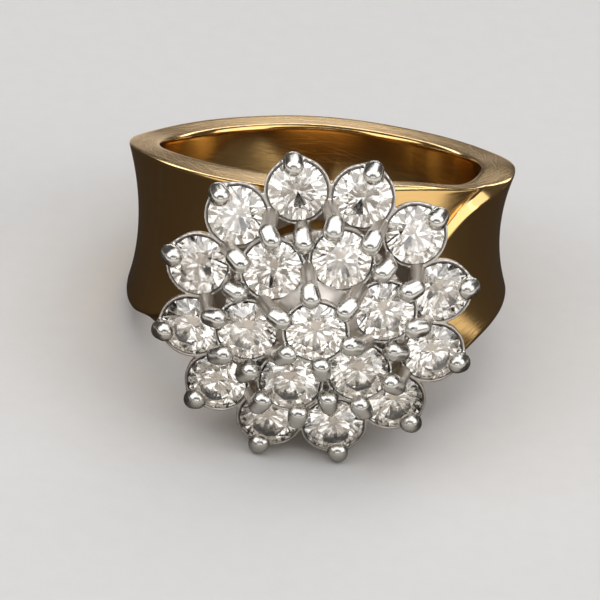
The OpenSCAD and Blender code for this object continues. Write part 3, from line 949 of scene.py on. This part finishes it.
# For each kind: name, distance and height of the tip, distance and height of the foot.
between_turn = FIRST_TURN + math.pi / INNER_COUNT
for name, out, height, foot_out, foot_height in (
        ("between", INNER_R + 0.75, INNER_H + 0.14, COLLAR_R - COLLAR_WALL / 2,
         RAIL_H - FLARE_FOOT / 2),
        ("middle", STONE_R + 0.33, CENTER_H + 0.12, INNER_R - 0.4, INNER_H - 0.72)):
    parts.append(grown("claws_" + name, claw_tree, {
        "Count": INNER_COUNT, "First Turn": between_turn, "Tip Out": out, "Tip Height": height,
        "Tip Size": BEAD_R, "Neck Out": out + BEND, "Neck Height": height - BEND_DROP,
        "Neck Size": WIRE_R, "Foot Out": foot_out, "Foot Height": foot_height,
        "Foot Size": POST_R}))
    tip_ring(INNER_COUNT, between_turn, out, height)
print("claws", OUTER_COUNT + 4 * INNER_COUNT)

# %% Collar, rail and domed plate
PLATE_R = INNER_R + 1.15
PLATE_WALL = 0.35
PLATE_HOLE = 0.6
PLATE_BELOW = 0.55
COLLAR_SIDES, PLATE_SIDES = 160, 120
edge_h = INNER_H - PLATE_BELOW
middle_h = CENTER_H - PLATE_BELOW
parts.append(mesh_object("collar", lathe("collar", [
    (COLLAR_R - COLLAR_WALL, POCKET_FLOOR + SOLDER_GAP),
    (COLLAR_R, POCKET_FLOOR + SOLDER_GAP),
    (COLLAR_R, RAIL_H - FLARE_FOOT),
    (RAIL_R + RAIL_WIRE, RAIL_H),
    (RAIL_R, RAIL_H + RAIL_WIRE),
    (COLLAR_R - COLLAR_WALL, RAIL_H - FLARE_FOOT / 2)], COLLAR_SIDES)))
parts.append(mesh_object("plate", lathe("plate", [
    (PLATE_HOLE, middle_h - PLATE_WALL),
    (INNER_R - STONE_R, edge_h - PLATE_WALL),
    (PLATE_R, edge_h - PLATE_WALL),
    (PLATE_R, edge_h),
    (INNER_R - STONE_R / 2, edge_h),
    (STONE_R, middle_h),
    (PLATE_HOLE, middle_h)], PLATE_SIDES)))
print("head parts", len(parts))

# %% [markdown]
# A cast head has no knife-sharp joints: metal flows from claw to cup. All the parts are melted
# into one skin with a fine voxel remesh, smoothed a little, and then the stones' rooms are cut,
# so the rims of the seats stay crisp. A last thinning keeps the mesh light.

# %% Head: one casting
VOXEL = 0.055
PAVILION_DEPTH = 1.33
HALF_GIRDLE = 0.05
CROWN_HEIGHT = 0.45
TABLE_R = 0.875
STAR_TURN = math.radians(22.5)
ROOM_SIDES = 96

head_piece = join("head_setting", parts)
melt = head_piece.modifiers.new("melt", "REMESH")
melt.mode = "VOXEL"
melt.voxel_size = VOXEL
soften = head_piece.modifiers.new("soften", "SMOOTH")
soften.factor = 0.5
soften.iterations = 4
finish_mesh(head_piece)
print("cast", len(head_piece.data.polygons), "faces")

# Two cones meet just outside the girdle and leave the same gap all round the stone.
pavilion_slope = STONE_R / PAVILION_DEPTH
room_foot = (-HALF_GIRDLE - PAVILION_DEPTH
             - SETTING_GAP * math.hypot(1, pavilion_slope) / pavilion_slope)
star_r = (TABLE_R + STONE_R) / 2
star_z = HALF_GIRDLE + CROWN_HEIGHT * (STONE_R - star_r * math.cos(STAR_TURN)) / (STONE_R - TABLE_R)
crown_slope = (STONE_R - star_r) / (star_z - HALF_GIRDLE)
room_peak = (HALF_GIRDLE + STONE_R / crown_slope
             + SETTING_GAP * math.hypot(1, crown_slope) / crown_slope)
room_top = HALF_GIRDLE + CROWN_HEIGHT + SETTING_GAP
girdle_z = ((pavilion_slope * room_foot + crown_slope * room_peak)
            / (pavilion_slope + crown_slope))
room = {"Low Size": 0.01, "Low Height": room_foot,
        "Middle Size": pavilion_slope * (girdle_z - room_foot), "Middle Height": girdle_z,
        "Top Size": crown_slope * (room_peak - room_top), "Top Height": room_top,
        "Point Size": 0.01, "Sides": ROOM_SIDES}
rooms = join("rooms", [grown("rooms_" + name, cup_tree, {**ring, **room})
                       for name, ring in rings.items()])
cut(head_piece, rooms)

# %% [markdown]
# A setter polishes the claws, since the wheel reaches them, and the cups and the plate between
# the stones keep the soft skin of the casting. An attribute on the mesh says how near each point
# is to the end of a claw, and the metal reads its polish from it.

# %% Head: thinning, polish and place
HEAD_TRIANGLES = 180000
POLISH_REACH = 0.62
POLISH_END = 1.1

thin = head_piece.modifiers.new("thin", "DECIMATE")
triangles = sum(len(p.vertices) - 2 for p in head_piece.data.polygons)
thin.ratio = min(1.0, HEAD_TRIANGLES / triangles)
finish_mesh(head_piece)
corners = np.empty(len(head_piece.data.vertices) * 3)
head_piece.data.vertices.foreach_get("co", corners)
nearest = np.min([np.linalg.norm(corners.reshape(-1, 3) - tip, axis=1) for tip in tips], axis=0)
polish = np.clip((POLISH_END - nearest) / (POLISH_END - POLISH_REACH), 0, 1)
mark = head_piece.data.attributes.new("polish", "FLOAT", "POINT")
mark.data.foreach_set("value", polish.astype(np.float32))
print("polished", round(float(polish.mean()), 2), "of the head's points")
place_piece(head_piece, IN_CLUSTER, white_gold, "white_gold", "head")

# %% [markdown]
# The floor. It is plain and pale, and runs out of sight. Polished gold is a mirror, so a pale
# floor close by would wash the wings out. A photographer lays a black card under the ring, out to
# the back, and small light ones below the claws, inside the band and behind it, and keeps them all
# out of the picture. Light Path does the same here: the camera sees pale paper, and a reflection
# sees the cards and the paper beside them.

# %% Floor with a dark card for reflections
FLOOR_REACH = 1.2
PALE_PAPER = (0.70, 0.695, 0.69, 1)
PALER_PAPER = (0.74, 0.735, 0.73, 1)
PAPER_BESIDE = (0.95, 0.91, 0.85, 1)
DARK_CARD = (0.024, 0.015, 0.008, 1)
SEEN_THROUGH = (0.60, 0.52, 0.42, 1)
CARD_MIDDLE = (-0.012, 0.6, 0)
CARD_HALF = (0.23, 0.62)
CARD_FADE = 1.03
LIGHT_CARDS = [
    # middle, reach, where it has faded out, colour
    ((0.001, -0.024, 0), 0.010, 0.018, (0.42, 0.40, 0.37, 1)),
    ((0.000, 0.006, 0), 0.003, 0.007, (0.70, 0.62, 0.50, 1)),
    ((0.000, 0.032, 0), 0.010, 0.022, (0.62, 0.55, 0.45, 1))]

floor_shape = bmesh.new()
bmesh.ops.create_circle(floor_shape, cap_ends=True, segments=96, radius=FLOOR_REACH)
floor_mesh = bpy.data.meshes.new("floor")
floor_shape.to_mesh(floor_mesh)
floor_shape.free()
floor = mesh_object("floor", floor_mesh)
floor_material, tree, shader, place = new_material("pale_floor")
paper = add(tree, "ShaderNodeTexNoise", {"Vector": place, "Scale": 900.0, "Detail": 4.0})
pale = mixed(tree, paper.outputs["Fac"], PALE_PAPER, PALER_PAPER)
offset = add(tree, "ShaderNodeVectorMath", {0: place, 1: CARD_MIDDLE},
             operation="SUBTRACT").outputs[0]
shares = add(tree, "ShaderNodeVectorMath", {0: offset, 1: (1 / CARD_HALF[0], 1 / CARD_HALF[1], 0)},
             operation="MULTIPLY").outputs[0]
far = add(tree, "ShaderNodeVectorMath", {0: shares}, operation="LENGTH").outputs["Value"]
card = mixed(tree, ranged(tree, far, 1.0, CARD_FADE), DARK_CARD, PAPER_BESIDE)
for middle, reach, fade, colour in LIGHT_CARDS:
    near = add(tree, "ShaderNodeVectorMath", {0: place, 1: middle},
               operation="DISTANCE").outputs["Value"]
    card = mixed(tree, ranged(tree, near, fade, reach), card, colour)
path = add(tree, "ShaderNodeLightPath")
card = mixed(tree, path.outputs["Is Transmission Ray"], card, SEEN_THROUGH)
tree.links.new(mixed(tree, path.outputs["Is Camera Ray"], card, pale),
               shader.inputs["Base Color"])
shader.inputs["Roughness"].default_value = 0.8
floor_mesh.materials.append(floor_material)
print("floor", FLOOR_REACH, "m, card", CARD_HALF, "m,", len(LIGHT_CARDS), "light cards")

# %% [markdown]
# The light. Polished metal and cut stones show whatever stands round them, so the light is a
# wide tent of soft boxes in front, and it is dark behind and below: the claws get bright faces
# with dark outlines. A low box at the back lights the rims and a higher one the channel's ledge,
# and the world is dim except where the camera looks straight at it.

# %% Soft boxes and world
DIM_ROOM = (0.07, 0.062, 0.055, 1)
ROOM_THROUGH = (0.40, 0.36, 0.31, 1)
BACKDROP = (0.6, 0.6, 0.6, 1)

world = bpy.data.worlds.new("studio")
world.use_nodes = True
tree = world.node_tree
backdrop = tree.nodes["Background"]
path = add(tree, "ShaderNodeLightPath")
room_light = mixed(tree, path.outputs["Is Transmission Ray"], DIM_ROOM, ROOM_THROUGH)
room_light = mixed(tree, path.outputs["Is Camera Ray"], room_light, BACKDROP)
tree.links.new(room_light, backdrop.inputs["Color"])
bpy.context.scene.world = world
bpy.context.scene.view_settings.view_transform = "Standard"

RING_MIDDLE = Vector((0, -0.004, 0.008))
SOFT_BOXES = [
    # name, azimuth from the front, elevation, distance, width, height, watts for a square metre
    ("tent_top", -5, 79, 0.50, 0.70, 0.66, 4.5),
    ("tent_left", -64, 34, 0.50, 0.40, 0.36, 5.0),
    ("tent_right", 66, 30, 0.50, 0.40, 0.36, 5.0),
    ("tent_low", 2, 13, 0.50, 0.50, 0.10, 5.0),
    ("back_strip", 178, 13, 0.60, 0.50, 0.08, 10.0),
    ("ledge_card", 151, 54, 0.50, 0.30, 0.28, 4.0)]
for name, azimuth, elevation, distance, width, height, watts in SOFT_BOXES:
    turn, rise = math.radians(azimuth), math.radians(elevation)
    direction = Vector((math.sin(turn) * math.cos(rise), -math.cos(turn) * math.cos(rise),
                        math.sin(rise)))
    lamp_data = bpy.data.lights.new(name, "AREA")
    lamp_data.shape = "RECTANGLE"
    lamp_data.size = width
    lamp_data.size_y = height
    lamp_data.energy = watts * width * height
    lamp = bpy.data.objects.new(name, lamp_data)
    lamp.location = RING_MIDDLE + direction * distance
    lamp.rotation_euler = direction.to_track_quat("Z", "Y").to_euler()
    lamp.visible_camera = False
    bpy.context.collection.objects.link(lamp)
print("soft boxes", len(SOFT_BOXES))
